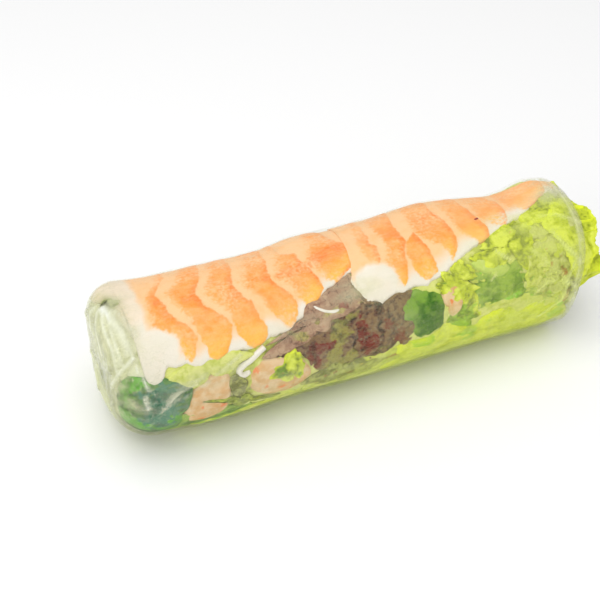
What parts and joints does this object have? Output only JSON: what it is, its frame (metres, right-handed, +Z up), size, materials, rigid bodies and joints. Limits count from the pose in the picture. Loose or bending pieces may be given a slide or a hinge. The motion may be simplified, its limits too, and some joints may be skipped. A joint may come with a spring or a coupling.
{
  "type": "rice paper roll",
  "caption": "Fresh roll in clear rice paper: prawns along the top over salad, cucumber, crab stick and noodle, folded shut at one end with frilled lettuce out of the other.",
  "frame": {"origin": "centre of the roll's box on the surface that it lies on", "axes": "+X along the roll, from its folded end to its open end with the lettuce; -Y towards the front that shows the filling; +Z up"},
  "size_m": [0.1599, 0.0469, 0.0443],
  "materials": {
    "rice_paper": "clear wet rice paper, milky where it is doubled or stands off the filling",
    "prawn": "cooked prawn, orange bands on white flesh",
    "green_lettuce": "fresh yellow-green lettuce leaf",
    "red_lettuce": "crumpled red-brown lettuce leaf",
    "cucumber": "dark green cucumber skin",
    "cucumber_flesh": "wet pale green cucumber flesh",
    "dark_leaf": "smooth blue-green leaf",
    "crab_stick": "pale crab stick with orange-red flecks",
    "rice_noodle": "white rice noodle"
  },
  "bodies": {
    "root": {"rice_paper_wrapper": "rice_paper", "salad_filling": "green_lettuce", "prawn_left": "prawn", "prawn_right": "prawn", "crab_stick_left": "crab_stick", "crab_stick_middle": "crab_stick", "crab_stick_sliver": "crab_stick", "cucumber_wedge": "cucumber", "cucumber_slice": "cucumber_flesh", "dark_leaf": "dark_leaf", "red_lettuce_leaf": "red_lettuce", "lettuce_scrap": "green_lettuce", "lettuce_strip": "green_lettuce", "lettuce_frill": "green_lettuce", "noodle_strand": "rice_noodle", "noodle_curl": "rice_noodle"}
  },
  "joints": []
}
